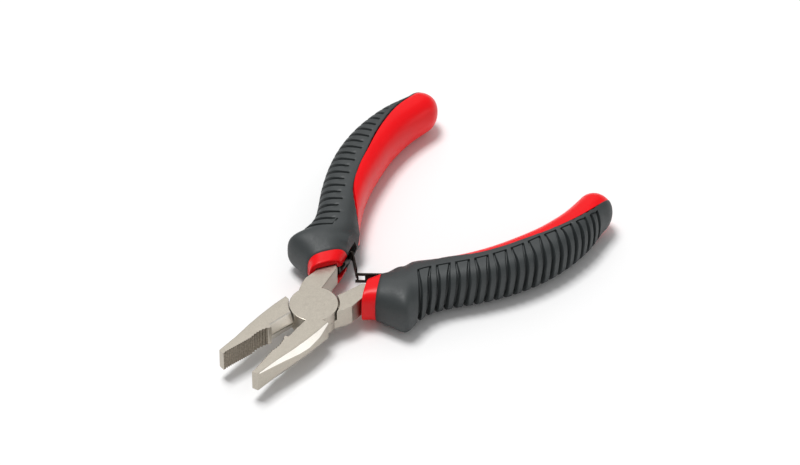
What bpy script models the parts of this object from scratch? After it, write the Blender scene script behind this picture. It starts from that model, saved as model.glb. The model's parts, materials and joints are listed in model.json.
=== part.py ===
"""Small combination pliers: two crossed forged halves on a flush rivet, with return springs and two-part grips.

The origin is on the pivot axis at the underside of the head, +X runs from the pivot towards the handles and +Z
is up through the head. Each half is drawn in its own closed frame, with its jaw face on the X axis, its jaw at
-X and its handle at +Y, and with the lap plane between the halves at Z = 0. Two empties on the pivot axis turn
the halves to their rest angle: the lower half is the same forging as the upper one, turned over about X.
"""

import math

import bmesh
import bpy
from mathutils import Matrix, Vector

MM = 0.001

# Head
BOSS_RADIUS = 7.0 * MM
HEAD_THICKNESS = 6.5 * MM
REST_ANGLE = math.radians(9.5)
FIT_GAP = 0.3 * MM
JAW_SIDE_GAP = 0.35 * MM
HANDLE_SIDE_GAP = 0.7 * MM
LAP_RADIUS = BOSS_RADIUS + (JAW_SIDE_GAP + HANDLE_SIDE_GAP) / 2
LAP_OFFSET = (HANDLE_SIDE_GAP - JAW_SIDE_GAP) / 2

# Rivet, flush at both faces
RIVET_RADIUS = 2.4 * MM
RIVET_HEAD_RADIUS = 3.1 * MM
RIVET_HEAD_DEPTH = 0.8 * MM

# Return springs
SPRING_WIDTH = 3.5 * MM
SPRING_THICKNESS = 0.5 * MM
TONGUE_WIDTH = 1.2 * MM
TONGUE_LENGTH = 2.6 * MM
FORK_SLOT = 2.0 * MM
FORK_SLOT_LENGTH = 2.8 * MM
SPRING_RIVET_RADIUS = 0.8 * MM
SPRING_RIVET_HEAD_RADIUS = 1.3 * MM
SPRING_RIVET_HEAD_THICKNESS = 0.45 * MM
SPRING_RIVET_DEPTH = 2.4 * MM

# Grips
OVERMOULD_THICKNESS = 1.6 * MM
SECTION_POWER = 3.0
GREY_COLUMNS = 18
RED_COLUMNS = 10
RINGS_PER_STATION = 2
CAP_LENGTH = 6.2 * MM
CAP_ANGLES = (22, 42, 58, 70, 79)
WINDOW_HEIGHT = 4.4 * MM

HALF_THICKNESS = HEAD_THICKNESS / 2
ARC_STEPS = 64

# Jaw sections from the tip to the root: distance from the pivot, how far the inner face stands back at the lap
# plane and at the flat faces, then the outer edge at the flat faces and at the lap plane, and how deep the
# chamfer between those two reaches below the flat faces. The cutter runs from 15.2 to the boss.
JAW_SECTIONS = (
    (32.3, 0.1, 0.1, 1.95, 2.05, 0.2),
    (25.5, 0.1, 0.1, 3.3, 3.9, 1.2),
    (22.0, 0.1, 0.1, 4.2, 5.0, 1.6),
    (20.6, 0.45, 0.45, 4.6, 5.45, 1.8),
    (19.0, 0.6, 0.6, 5.0, 5.95, 2.0),
    (17.4, 0.45, 0.45, 5.35, 6.45, 2.2),
    (16.0, 0.1, 0.1, 5.65, 6.8, 2.3),
    (15.2, 0.1, 0.1, 5.8, 7.0, 2.35),
    (15.1, 0.1, 1.2, 5.85, 7.05, 2.35),
    (13.5, 0.1, 1.25, 6.15, 7.4, 2.4),
    (9.0, 0.1, 1.45, 6.9, 7.8, 1.9),
    (4.3, 0.1, 1.65, 7.4, 7.7, 0.5),
)

# The neck and the tang inside the grip, closed frame, inner edge outwards and outer edge back
TANG_INNER = (
    (4.0, 1.5), (7.1, 1.5), (16.2, 2.3), (17.4, 3.85), (25.6, 4.45), (28.0, 6.0), (34.0, 10.9), (43.0, 15.6),
    (52.0, 18.8), (60.0, 20.6), (65.5, 21.4),
)
TANG_OUTER = (
    (67.0, 22.9), (65.5, 24.3), (60.0, 24.1), (52.0, 22.9), (43.0, 20.1), (34.0, 16.2), (27.0, 12.8),
    (22.0, 10.5), (16.0, 7.9), (12.0, 6.9), (7.7, 7.8), (5.4, 7.5), (2.3, 6.6), (1.5, 3.0),
)

# Grip stations from the collar's front rim to the start of the rounded end: the outer point and the inner point
# of the section, closed frame, then half the thickness, and the angle at which the grey overmould ends, counted
# from the outer side over the top: at 180 it wraps all the way round. The collar's bare skin ends short of the
# overmould by a running gap, given in stations, and the red inner side starts in a point at RED_TIP.
GRIP_STATIONS = (
    ((10.3, 8.6), (18.5, 2.0), 5.8, 180),
    ((13.4, 10.9), (22.8, 2.8), 6.3, 180),
    ((15.0, 14.9), (25.0, 3.3), 6.9, 180),
    ((17.5, 20.2), (27.5, 3.7), 7.3, 180),
    ((22.2, 19.9), (29.8, 3.9), 7.3, 180),
    ((27.4, 18.9), (32.4, 4.8), 7.2, 172),
    ((32.5, 20.0), (36.9, 7.6), 7.2, 154),
    ((42.4, 24.5), (45.7, 11.6), 7.2, 129),
    ((51.6, 27.7), (54.1, 14.2), 7.2, 114),
    ((60.9, 29.5), (62.5, 15.7), 7.2, 104),
    ((70.3, 29.6), (70.3, 16.5), 7.1, 98),
    ((80.3, 27.9), (79.3, 16.0), 7.0, 92),
    ((88.9, 24.6), (88.1, 13.9), 6.7, 86),
)
COLLAR_END = 1.0
COLLAR_SHORT = 0.085
RED_TIP = 4.0

# Centre line of one spring in its half's closed frame: root leg, tight bend, then the free leg to its tip
SPRING_ROOT = (18.3, 3.25)
SPRING_ROOT_END = (24.9, 3.72)
SPRING_BEND_RADIUS = 0.55
SPRING_TIP = (17.97, -3.51)
SPRING_RIVET_DISTANCE = 20.4

# Window in the grip's inner side, over the spring's root leg
WINDOW_OUTLINE = ((15.0, 0.0), (29.0, 0.0), (29.0, 6.5), (26.0, 6.0), (17.0, 5.5), (15.0, 4.0))

STEEL = ("satin_nickel_plated_steel", (0.56, 0.53, 0.48, 1.0), 0.32, 1.0)
SPRING_STEEL = ("black_oxide_spring_steel", (0.045, 0.035, 0.028, 1.0), 0.38, 0.9)
RED_PLASTIC = ("red_polypropylene", (0.78, 0.018, 0.022, 1.0), 0.34, 0.0)
GREY_RUBBER = ("grey_thermoplastic_rubber", (0.058, 0.072, 0.072, 1.0), 0.62, 0.0)


def clear_scene():
    for obj in list(bpy.data.objects):
        bpy.data.objects.remove(obj, do_unlink=True)


def material(name, colour, roughness, metallic):
    found = bpy.data.materials.get(name) or bpy.data.materials.new(name)
    found.use_nodes = True
    shader = found.node_tree.nodes["Principled BSDF"]
    shader.inputs["Base Color"].default_value = colour
    shader.inputs["Roughness"].default_value = roughness
    shader.inputs["Metallic"].default_value = metallic
    return found


def object_from(bm, name):
    """Closes the seams of a bmesh, turns its faces outwards and makes it an object."""
    bmesh.ops.remove_doubles(bm, verts=bm.verts, dist=0.0005 * MM)
    bmesh.ops.dissolve_degenerate(bm, dist=0.0005 * MM, edges=bm.edges)
    bmesh.ops.recalc_face_normals(bm, faces=bm.faces)
    mesh = bpy.data.meshes.new(name)
    bm.to_mesh(mesh)
    bm.free()
    obj = bpy.data.objects.new(name, mesh)
    bpy.context.scene.collection.objects.link(obj)
    return obj


def combine(obj, tools, operation):
    """Joins or cuts obj with each tool in turn, then removes the tools."""
    for tool in tools:
        tool.hide_render = True
        tool.display_type = "WIRE"
        modifier = obj.modifiers.new(tool.name, "BOOLEAN")
        modifier.operation = operation
        modifier.solver = "EXACT"
        modifier.object = tool
    graph = bpy.context.evaluated_depsgraph_get()
    made = bpy.data.meshes.new_from_object(obj.evaluated_get(graph))
    obj.modifiers.clear()
    obj.data = made
    for tool in tools:
        bpy.data.objects.remove(tool, do_unlink=True)
    return obj


def prism(name, outline, low, high):
    """A vertical prism on an outline given in millimetres."""
    bm = bmesh.new()
    base = bm.faces.new([bm.verts.new((x * MM, y * MM, low)) for x, y in outline])
    top = bmesh.ops.extrude_face_region(bm, geom=[base])
    moved = [item for item in top["geom"] if isinstance(item, bmesh.types.BMVert)]
    bmesh.ops.translate(bm, verts=moved, vec=(0, 0, high - low))
    return object_from(bm, name)


def cylinder(name, radius, low, high, x=0.0):
    bm = bmesh.new()
    made = bmesh.ops.create_cone(
        bm, cap_ends=True, segments=ARC_STEPS, radius1=radius, radius2=radius, depth=high - low
    )
    bmesh.ops.translate(bm, verts=made["verts"], vec=(x, 0, (low + high) / 2))
    return object_from(bm, name)


def turned(name, profile):
    """A solid turned about Z from (radius, height) points, both ends on the axis."""
    bm = bmesh.new()
    points = [bm.verts.new((radius, 0, height)) for radius, height in profile]
    edges = [bm.edges.new(pair) for pair in zip(points, points[1:])]
    bmesh.ops.spin(
        bm, geom=points + edges, cent=(0, 0, 0), axis=(0, 0, 1), angle=math.tau, steps=ARC_STEPS, use_merge=True
    )
    return object_from(bm, name)


def rivet_profile(extra, overshoot):
    """The flush rivet's profile, grown by extra, with its ends carried on by overshoot."""
    face = HALF_THICKNESS
    neck = face - RIVET_HEAD_DEPTH
    head = RIVET_HEAD_RADIUS + extra
    shank = RIVET_RADIUS + extra
    ends = [(0, -face - overshoot), (head, -face - overshoot)]
    if overshoot:
        ends.append((head, -face))
    lower = ends + [(shank, -neck)]
    return lower + [(radius, -height) for radius, height in reversed(lower)]


def skin(bm, rows):
    """Faces between neighbouring rows of points, all rows the same length."""
    made = [[bm.verts.new(point) for point in row] for row in rows]
    for first, second in zip(made, made[1:]):
        for a, b, c, d in zip(first, first[1:], second[1:], second):
            bm.faces.new((a, b, c, d))


def offset_outline(outline, distance):
    """The closed anticlockwise outline moved outwards by distance, in millimetres, with mitred corners."""
    grown = []
    for before, here, after in zip(outline[-1:] + outline[:-1], outline, outline[1:] + outline[:1]):
        into = (Vector(here) - Vector(before)).normalized()
        away = (Vector(after) - Vector(here)).normalized()
        normal = Vector((into.y + away.y, -into.x - away.x)).normalized()
        grown.append(tuple(Vector(here) + normal * distance / normal.dot(Vector((into.y, -into.x)))))
    return grown


def jaw():
    """The jaw as sections along -X, with the cutter's bevel and the hollow of the pipe grip."""
    bm = bmesh.new()
    rows = []
    for distance, inner_mid, inner_face, outer_face, outer_mid, depth in JAW_SECTIONS:
        face = HALF_THICKNESS
        shoulder = face - depth * MM
        section = [
            (-inner_mid, 0), (-inner_face, face), (-outer_face, face), (-outer_mid, shoulder),
            (-outer_mid, -shoulder), (-outer_face, -face), (-inner_face, -face), (-inner_mid, 0),
        ]
        rows.append([Vector((-distance * MM, y * MM, z)) for y, z in section])
    skin(bm, rows)
    for row in (rows[0], rows[-1]):
        bm.faces.new([bm.verts.new(point) for point in row[:-1]])
    return object_from(bm, "jaw")


def forged_half():
    """One half: jaw, upper-layer boss and tang, cut away where the other half's boss turns in it."""
    outline = list(TANG_INNER + TANG_OUTER)
    half = cylinder("forged_half", BOSS_RADIUS, -HALF_THICKNESS / 2, HALF_THICKNESS)
    half = combine(half, [jaw(), prism("tang", outline, -HALF_THICKNESS, HALF_THICKNESS)], "UNION")
    lap = cylinder("lap", LAP_RADIUS, -HEAD_THICKNESS, FIT_GAP / 2, LAP_OFFSET)
    bore = turned("bore", rivet_profile(FIT_GAP, MM))
    return combine(half, [lap, bore, spring_rivet("rivet_hole", FIT_GAP)], "DIFFERENCE")


def catmull_rom(values, position):
    """The smooth curve through the values at a fractional position, on numbers, vectors or points."""
    last = len(values) - 1
    index = min(int(position), last - 1)
    t = position - index
    a, b, c, d = (values[max(0, min(last, index + step))] for step in (-1, 0, 1, 2))
    return 0.5 * (2 * b + t * (c - a) + t * t * (2 * a - 5 * b + 4 * c - d) + t**3 * (3 * (b - c) + d - a))


OUTER = [Vector((*outer, 0)) * MM for outer, _, _, _ in GRIP_STATIONS]
INNER = [Vector((*inner, 0)) * MM for _, inner, _, _ in GRIP_STATIONS]
THICKNESS = [half * MM for _, _, half, _ in GRIP_STATIONS]
GREY_END = [math.radians(angle) for _, _, _, angle in GRIP_STATIONS]
LAST_STATION = len(GRIP_STATIONS) - 1


def section_point(position, angle, inset):
    """A point of the grip's skin: position counts stations, and past the last one it runs over the round end."""
    station = min(position, LAST_STATION)
    outer = catmull_rom(OUTER, station)
    inner = catmull_rom(INNER, station)
    centre = (outer + inner) / 2
    across = (outer - inner).normalized()
    width = (outer - inner).length / 2 - inset
    height = catmull_rom(THICKNESS, station) - inset
    along = across.cross(Vector((0, 0, 1)))
    cap = math.radians(max(0.0, position - LAST_STATION) * 90)
    power = 2 / SECTION_POWER
    y = width * math.copysign(abs(math.cos(angle)) ** power, math.cos(angle)) * math.cos(cap)
    z = height * math.copysign(abs(math.sin(angle)) ** power, math.sin(angle)) * math.cos(cap)
    x = (CAP_LENGTH - inset) * math.sin(cap)
    return centre + along * x + across * y + Vector((0, 0, z))


def ring_positions(start):
    steps = RINGS_PER_STATION
    first = math.ceil(start * steps)
    return [k / steps for k in range(first, LAST_STATION * steps + 1)] + [
        LAST_STATION + angle / 90 for angle in CAP_ANGLES
    ]


def seam_angle(position, into_grey):
    """Where the grey ends, moved by half a gap into the grey or into the red."""
    if position <= RED_TIP:
        return math.pi
    angle = catmull_rom(GREY_END, min(position, LAST_STATION))
    middle = section_point(position, angle, 0)
    axis = section_point(position, 0, 0) + section_point(position, math.pi, 0)
    radius = (middle - axis / 2).length
    return angle - (into_grey * FIT_GAP / 2) / radius


def fan_of(end, count):
    return [angle_step * 2 * end / count - end for angle_step in range(count + 1)]


def grey_row(position, inset, into_grey):
    end = seam_angle(position, into_grey)
    return [section_point(position, angle, inset) for angle in fan_of(end, GREY_COLUMNS)]


def red_row(position, inset):
    end = seam_angle(position, -1)
    return [
        section_point(position, end + step * (2 * math.pi - 2 * end) / RED_COLUMNS, inset)
        for step in range(RED_COLUMNS + 1)
    ]


def end_disc(bm, row):
    """A flat fan over the row at the tip, from the middle of its chord, whose point it returns."""
    middle = (row[0] + row[-1]) / 2
    skin(bm, [row, [middle] * len(row)])
    return middle


def overmould():
    """The grey shell: it starts behind the collar as a full sleeve and opens along the grip's inner side."""
    bm = bmesh.new()
    positions = ring_positions(COLLAR_END)
    outer = [grey_row(position, 0, 1) for position in positions]
    inner = [grey_row(position, OVERMOULD_THICKNESS, 1) for position in positions]
    skin(bm, outer)
    skin(bm, inner)
    skin(bm, [outer[0], inner[0]])
    open_from = sum(position <= RED_TIP for position in positions) - 1
    for column in (0, -1):
        skin(bm, [[row[column] for row in outer[open_from:]], [row[column] for row in inner[open_from:]]])
    middles = [end_disc(bm, outer[-1]), end_disc(bm, inner[-1])]
    skin(bm, [[row[-1][0], middle, row[-1][-1]] for row, middle in zip((outer, inner), middles)])
    return object_from(bm, "overmould")


def core():
    """The red sleeve: its collar and inner side are bare, and the rest lies under the overmould."""
    bm = bmesh.new()
    under = OVERMOULD_THICKNESS + FIT_GAP
    collar_end = COLLAR_END - COLLAR_SHORT
    collar = [position for position in ring_positions(0) if position < COLLAR_END] + [collar_end]
    hidden = ring_positions(COLLAR_END)
    insets = [0.0] * len(collar) + [under] * (len(hidden) + 1)
    positions = collar + [collar_end] + hidden
    grey = [grey_row(position, inset, -1) for position, inset in zip(positions, insets)]
    skin(bm, grey)
    bm.faces.new([bm.verts.new(point) for point in grey[0][:-1]])
    bare = [position for position in hidden if position >= RED_TIP]
    red = [red_row(position, 0) for position in bare]
    skin(bm, red)
    beneath = grey[-len(bare) :]
    skin(bm, [[row[-1] for row in beneath], [row[0] for row in red]])
    skin(bm, [[row[0] for row in beneath], [row[-1] for row in red]])
    middles = [end_disc(bm, red[-1]), end_disc(bm, beneath[-1])]
    skin(bm, [[red[-1][-1], middles[0], red[-1][0]], [beneath[-1][0], middles[1], beneath[-1][-1]]])
    return object_from(bm, "core")


def hollow(sleeve):
    """Cuts the tang's pocket and the spring's window out of one layer of the grip."""
    outline = offset_outline([*TANG_INNER[1:], *TANG_OUTER[:-3]], FIT_GAP / MM)
    high = HALF_THICKNESS + FIT_GAP
    pocket = prism("pocket", outline, -high, high)
    window = prism("window", WINDOW_OUTLINE, -WINDOW_HEIGHT / 2, WINDOW_HEIGHT / 2)
    return combine(sleeve, [pocket, window], "DIFFERENCE")


def spring_path():
    """Points of a spring's centre line, in millimetres: root leg, round bend, free leg."""
    root = Vector(SPRING_ROOT)
    root_end = Vector(SPRING_ROOT_END)
    tip = Vector(SPRING_TIP)
    along = (root_end - root).normalized()
    side = Vector((along.y, -along.x))
    centre = root_end + side * SPRING_BEND_RADIUS
    start = math.atan2(-side.y, -side.x)
    reach = tip - centre
    tangent = math.atan2(reach.y, reach.x) + math.acos(SPRING_BEND_RADIUS / reach.length)
    turn = (tangent - start) % math.tau - math.tau
    steps = 8
    bend = [
        centre + SPRING_BEND_RADIUS * Vector((math.cos(start + turn * k / steps), math.sin(start + turn * k / steps)))
        for k in range(steps + 1)
    ]
    return [root, *bend, tip]


def strip(name, path, width, thickness):
    """A flat strip standing on its edge along a path, as a closed solid centred on the lap plane."""
    left = []
    right = []
    for index, here in enumerate(path):
        before = path[max(index - 1, 0)]
        after = path[min(index + 1, len(path) - 1)]
        along = (after - before).normalized()
        side = Vector((-along.y, along.x)) * (thickness / MM / 2)
        left.append(tuple(here + side))
        right.append(tuple(here - side))
    return prism(name, left + right[::-1], -width / 2, width / 2)


def leaf_spring(name, cutters):
    spring = strip(name, spring_path(), SPRING_WIDTH, SPRING_THICKNESS)
    return combine(spring, [*cutters, spring_rivet("hole", FIT_GAP)], "DIFFERENCE")


def tip_block(name, length, low, high):
    """A cutter over the last length of the free leg, between two heights."""
    path = spring_path()
    along = (path[-1] - path[-2]).normalized()
    start = path[-1] - along * (length / MM)
    return_to = path[-1] + along
    block = strip(name, [start, return_to], high - low, 8 * SPRING_THICKNESS)
    block.data.transform(Matrix.Translation((0, 0, (low + high) / 2)))
    return block


def spring_rivet(name, extra=0.0):
    """A small domed rivet through the root leg into the tang's inner edge, or with extra the hole for it."""
    root = Vector(SPRING_ROOT)
    along = (Vector(SPRING_ROOT_END) - root).normalized()
    foot = root + along * (SPRING_RIVET_DISTANCE - SPRING_ROOT[0])
    face = SPRING_THICKNESS / 2 + FIT_GAP
    shank = SPRING_RIVET_RADIUS + extra
    head = SPRING_RIVET_HEAD_RADIUS
    profile = [(0, -SPRING_RIVET_DEPTH - extra), (shank, -SPRING_RIVET_DEPTH - extra)]
    if extra:
        profile += [(shank, 2 * face), (0, 2 * face)]
    else:
        top = face + SPRING_RIVET_HEAD_THICKNESS
        profile += [(shank, face), (head, face), (head * 0.75, top), (0, top)]
    made = turned(name, profile)
    turn = Vector((0, 0, 1)).rotation_difference(Vector((along.y, -along.x, 0)))
    place = turn.to_matrix().to_4x4()
    place.translation = Vector((foot.x, foot.y, 0)) * MM
    made.data.transform(place)
    return made


def pivot_empty(name, flip, turn):
    empty = bpy.data.objects.new(name, None)
    empty.location = (0, 0, HALF_THICKNESS)
    empty.rotation_euler = (flip, 0, turn)
    bpy.context.scene.collection.objects.link(empty)
    return empty


def finish_piece(obj, name, parent, finish):
    obj.name = name
    obj.data.materials.clear()
    obj.data.materials.append(material(*finish))
    obj.data.shade_smooth()
    obj.data.set_sharp_from_angle(angle=math.radians(35))
    obj.parent = parent
    return obj


def twin(obj, name, parent):
    """The same piece for the other half, sharing its mesh."""
    copy = bpy.data.objects.new(name, obj.data)
    bpy.context.scene.collection.objects.link(copy)
    copy.parent = parent
    return copy


def tongue_cutters():
    half = SPRING_WIDTH / 2 + MM
    edge = TONGUE_WIDTH / 2
    return [
        tip_block("above_tongue", TONGUE_LENGTH, edge, half),
        tip_block("below_tongue", TONGUE_LENGTH, -half, -edge),
    ]


def build():
    clear_scene()
    upper = pivot_empty("upper_lever", 0, REST_ANGLE)
    lower = pivot_empty("lower_lever", math.pi, -REST_ANGLE)

    half = finish_piece(forged_half(), "upper_half", upper, STEEL)
    twin(half, "lower_half", lower)
    finish_piece(turned("rivet", rivet_profile(0, 0)), "pivot_rivet", upper, STEEL)

    sleeve = finish_piece(hollow(core()), "upper_grip_core", upper, RED_PLASTIC)
    twin(sleeve, "lower_grip_core", lower)
    shell = finish_piece(hollow(overmould()), "upper_grip_overmould", upper, GREY_RUBBER)
    twin(shell, "lower_grip_overmould", lower)

    tongue = leaf_spring("tongue", tongue_cutters())
    finish_piece(tongue, "leaf_spring_tongue", upper, SPRING_STEEL)
    slot = tip_block("slot", FORK_SLOT_LENGTH, -FORK_SLOT / 2, FORK_SLOT / 2)
    finish_piece(leaf_spring("fork", [slot]), "leaf_spring_fork", lower, SPRING_STEEL)
    small = finish_piece(spring_rivet("small_rivet"), "upper_spring_rivet", upper, STEEL)
    twin(small, "lower_spring_rivet", lower)


build()
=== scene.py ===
"""Small combination pliers: forged halves, flush rivet, return springs and ribbed two-part grips."""

import json
import math

import bmesh
import bpy
from bpy.props import FloatProperty, FloatVectorProperty, PointerProperty
from mathutils import Matrix, Vector


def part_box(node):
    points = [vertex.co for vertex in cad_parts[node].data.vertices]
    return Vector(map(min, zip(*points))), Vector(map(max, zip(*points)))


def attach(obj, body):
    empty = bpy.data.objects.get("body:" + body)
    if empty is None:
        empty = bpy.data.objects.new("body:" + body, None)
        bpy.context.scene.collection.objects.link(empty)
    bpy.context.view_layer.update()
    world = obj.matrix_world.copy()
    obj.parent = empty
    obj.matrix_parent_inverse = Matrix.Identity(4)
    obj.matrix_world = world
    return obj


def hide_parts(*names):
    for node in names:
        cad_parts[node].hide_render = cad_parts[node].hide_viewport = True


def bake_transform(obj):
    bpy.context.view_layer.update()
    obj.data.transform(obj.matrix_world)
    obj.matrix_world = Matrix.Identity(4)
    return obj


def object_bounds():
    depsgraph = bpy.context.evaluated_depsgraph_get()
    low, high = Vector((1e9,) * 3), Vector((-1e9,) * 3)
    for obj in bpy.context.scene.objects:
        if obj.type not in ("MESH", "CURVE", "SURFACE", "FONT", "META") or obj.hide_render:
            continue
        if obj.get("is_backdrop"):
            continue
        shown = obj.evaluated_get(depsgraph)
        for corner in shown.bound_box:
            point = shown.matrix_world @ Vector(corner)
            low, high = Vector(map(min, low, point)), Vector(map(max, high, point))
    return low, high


bl_info = {
    "name": "Combination Pliers",
    "version": (1, 0, 0),
    "blender": (4, 5, 0),
    "location": "View3D > Sidebar > Pliers",
    "description": "Builds small combination pliers around their packed frame",
    "category": "Object",
}

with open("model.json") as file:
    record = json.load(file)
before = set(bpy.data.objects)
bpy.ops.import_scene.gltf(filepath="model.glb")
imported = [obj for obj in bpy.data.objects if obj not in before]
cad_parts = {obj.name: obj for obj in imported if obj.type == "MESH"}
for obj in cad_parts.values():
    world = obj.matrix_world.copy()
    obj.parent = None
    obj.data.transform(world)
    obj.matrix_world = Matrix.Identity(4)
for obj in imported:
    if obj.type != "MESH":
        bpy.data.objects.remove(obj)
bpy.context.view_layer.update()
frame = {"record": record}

MM = 0.001
JOINT = frame["record"]["behaviour"]["joints"][0]
PIVOT = Vector(JOINT["pos_m"])
LOW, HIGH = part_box("upper_half")
HALF_THICKNESS = (HIGH.z - LOW.z) / 2

# Points closer than this are one, and edges whose ends differ less than this in height are level, in metres
MERGE = 0.0004 * MM
LEVEL = 1e-7

# Lengths are in millimetres, in the closed frame: the jaw lies along -X and the handle goes to +X, +Y.

# Jaw sections from the tip to the root: distance from the pivot, how far the inner face stands back at the
# lap plane and at the flat faces, the outer edge at the flat faces and at the lap plane, and how deep the
# outer chamfer reaches.
JAW_SECTIONS = (
    (32.27, 0.1, 0.1, 1.95, 2.05, 0.2),
    (31.9, 0.1, 0.1, 2.05, 2.2, 0.25),
    (25.5, 0.1, 0.1, 3.3, 3.9, 1.2),
    (22.0, 0.1, 0.1, 4.2, 5.0, 1.6),
    (20.6, 0.45, 0.45, 4.6, 5.45, 1.8),
    (19.0, 0.6, 0.6, 5.0, 5.95, 2.0),
    (17.4, 0.45, 0.45, 5.35, 6.45, 2.2),
    (16.0, 0.1, 0.1, 5.65, 6.8, 2.3),
    (15.2, 0.1, 0.1, 5.8, 7.0, 2.35),
    (15.1, 0.1, 1.2, 5.85, 7.05, 2.35),
    (13.5, 0.1, 1.25, 6.15, 7.4, 2.4),
    (9.0, 0.1, 1.45, 6.9, 7.8, 1.9),
    (4.3, 0.1, 1.65, 7.4, 7.7, 0.5),
)
TEETH_FROM = 31.6
TEETH_TO = 22.2
SCALLOPS_TO = 16.2
CUTTER_START = 15.15
CUTTER_LAND = 0.3
BOSS_SIDE = -4.5
CHAMFER_TIP = -31.5
DEEPEST_INNER_FACE = -2.2

# The neck and the tang inside the grip, inner edge outwards and outer edge back
TANG = (
    (4.0, 1.5), (7.1, 1.5), (16.2, 2.3), (17.4, 3.85), (25.6, 4.45), (28.0, 6.0), (34.0, 10.9),
    (43.0, 15.6), (46.0, 18.4), (43.0, 20.1), (34.0, 16.2), (27.0, 12.8), (22.0, 10.5), (16.0, 7.9),
    (12.0, 6.9), (7.7, 7.8), (5.4, 7.5), (2.3, 6.6), (1.5, 3.0),
)

# The flush rivet: how far its head stands out past the shank and how high it is, and the gap round it
RIVET_STEP = 0.7
RIVET_HEAD = 0.8
RIVET_GAP = 0.012
# The clearance for the other boss reaches this far past the lap plane, and its centre is shifted this far
LAP_HEIGHT = 0.05
LAP_OFFSET = 0.1

# Grip stations from the collar's rim to the rounded end: outer point and inner point of the section, half
# its thickness, and the direction in which the grey ends, seen from the section's middle: at 180 it wraps
# all round. The last number is how square the section is: 2 is an ellipse.
GRIP_STATIONS = (
    ((10.3, 8.6), (18.5, 2.0), 5.8, 180, 3.2),
    ((13.4, 10.9), (22.8, 2.8), 6.3, 180, 3.0),
    ((15.0, 14.9), (25.0, 3.3), 6.9, 180, 2.5),
    ((17.5, 20.2), (27.5, 3.7), 7.3, 180, 2.9),
    ((22.2, 19.9), (29.8, 3.9), 7.3, 180, 2.25),
    ((27.4, 18.9), (32.4, 4.8), 7.2, 166, 2.7),
    ((32.5, 20.0), (36.9, 7.6), 7.2, 146, 2.8),
    ((42.4, 24.5), (45.7, 11.6), 7.2, 118, 2.8),
    ((51.6, 27.7), (54.1, 14.2), 7.2, 113, 2.8),
    ((60.9, 29.5), (62.5, 15.7), 7.2, 110, 2.7),
    ((70.3, 29.6), (70.3, 16.5), 7.1, 100, 2.6),
    ((80.3, 27.9), (79.3, 16.0), 7.0, 84, 2.4),
    ((88.9, 24.6), (88.1, 13.9), 6.7, 66, 2.2),
)
LAST = len(GRIP_STATIONS) - 1
COLLAR_END = 1.0
RED_TIP = 4.0
CAP_LENGTH = 6.15
CAP_TRAVEL = CAP_LENGTH * 1.35
SKIN_ALLOWANCE = 0.1
RED_INSET = 0.1

SPRING_ROOT = (18.3, 3.25)
SPRING_ROOT_END = (24.9, 3.72)
SPRING_BEND_RADIUS = 0.55
SPRING_TIP = (17.97, -3.51)
SPRING_RIVET_DISTANCE = 20.4
SPRING_EDGE = 0.06
TONGUE_LENGTH = 2.6
TONGUE_HALF_WIDTH = 0.6
SLOT_LENGTH = 2.8
SLOT_HALF_WIDTH = 1.0
SMALL_RIVET_SHANK = 0.8
SMALL_RIVET_DEPTH = 2.0
SMALL_RIVET_HEAD = (1.25, 0.65)
WINDOW_HALF_WIDTH = 2.2
WINDOW = ((15.0, 0.0), (29.0, 0.0), (29.0, 6.5), (26.0, 6.0), (17.0, 5.5), (15.0, 4.0))


def length_property(name, description, default):
    """A length in the panel, given in millimetres."""
    return FloatProperty(
        name=name, description=description, default=default * MM, unit="LENGTH", subtype="DISTANCE",
        precision=5,
    )


def linear(code):
    """The linear RGBA of an sRGB hex code."""
    channels = [int(code[i : i + 2], 16) / 255 for i in (1, 3, 5)]
    return (*(c / 12.92 if c <= 0.04045 else ((c + 0.055) / 1.055) ** 2.4 for c in channels), 1.0)


def colour_property(name, description, code):
    """A colour in the panel, given as an sRGB hex code."""
    return FloatVectorProperty(
        name=name, description=description, default=linear(code), subtype="COLOR", size=4, min=0, max=1
    )


class PliersSizes(bpy.types.PropertyGroup):
    """Sizes of the pieces."""

    rest_angle: FloatProperty(
        name="Rest angle", description="Turn of each half from closed", default=math.radians(9.5),
        subtype="ANGLE",
    )
    boss_radius: length_property("Boss radius", "Radius of the round boss at the pivot", 7.0)
    lap_radius: length_property("Lap radius", "Radius of the clearance round the other half's boss", 7.42)
    edge: length_property("Edge break", "Width of the broken edges of the forging", 0.14)
    tooth_pitch: length_property("Tooth pitch", "Spacing of the fine jaw serrations", 0.67)
    tooth_depth: length_property("Tooth depth", "Depth of the fine jaw serrations", 0.34)
    scallop_pitch: length_property("Scallop pitch", "Spacing of the pipe grip's teeth", 1.0)
    scallop_depth: length_property("Scallop depth", "Depth of the pipe grip's teeth", 0.4)
    rivet_radius: length_property("Rivet radius", "Radius of the flush rivet's head", 3.1)
    spring_width: length_property("Spring width", "Width of the leaf springs", 3.5)
    spring_thickness: length_property("Spring thickness", "Thickness of the leaf springs", 0.5)
    rib_pitch: length_property("Rib pitch", "Spacing of the grip's grooves", 2.86)
    rib_width: length_property("Groove width", "Width of a groove at the grip's outer side", 1.28)
    rib_depth: length_property("Groove depth", "Depth of a groove at the grip's outer side", 1.6)
    shell: length_property("Shell thickness", "Thickness of the grey overmould", 1.8)


class PliersColours(bpy.types.PropertyGroup):
    """Colours of the finishes."""

    steel: colour_property("Steel", "Satin nickel plating", "#bab3a7")
    ground: colour_property("Ground steel", "Bright ground bevels", "#efeae2")
    # The teeth's colour is darker than the steel, partly as cut steel and partly as painted shade among the
    # serrations
    teeth: colour_property("Teeth", "Cut serrations", "#988f82")
    oxide: colour_property("Oxide", "Black oxide on the springs", "#2a2420")
    red: colour_property("Red", "Red polypropylene", "#ea0a14")
    grey: colour_property("Grey", "Grey thermoplastic rubber", "#2e3334")
    floor: colour_property("Floor", "Studio floor", "#f6f6f6")


# Materials


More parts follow.
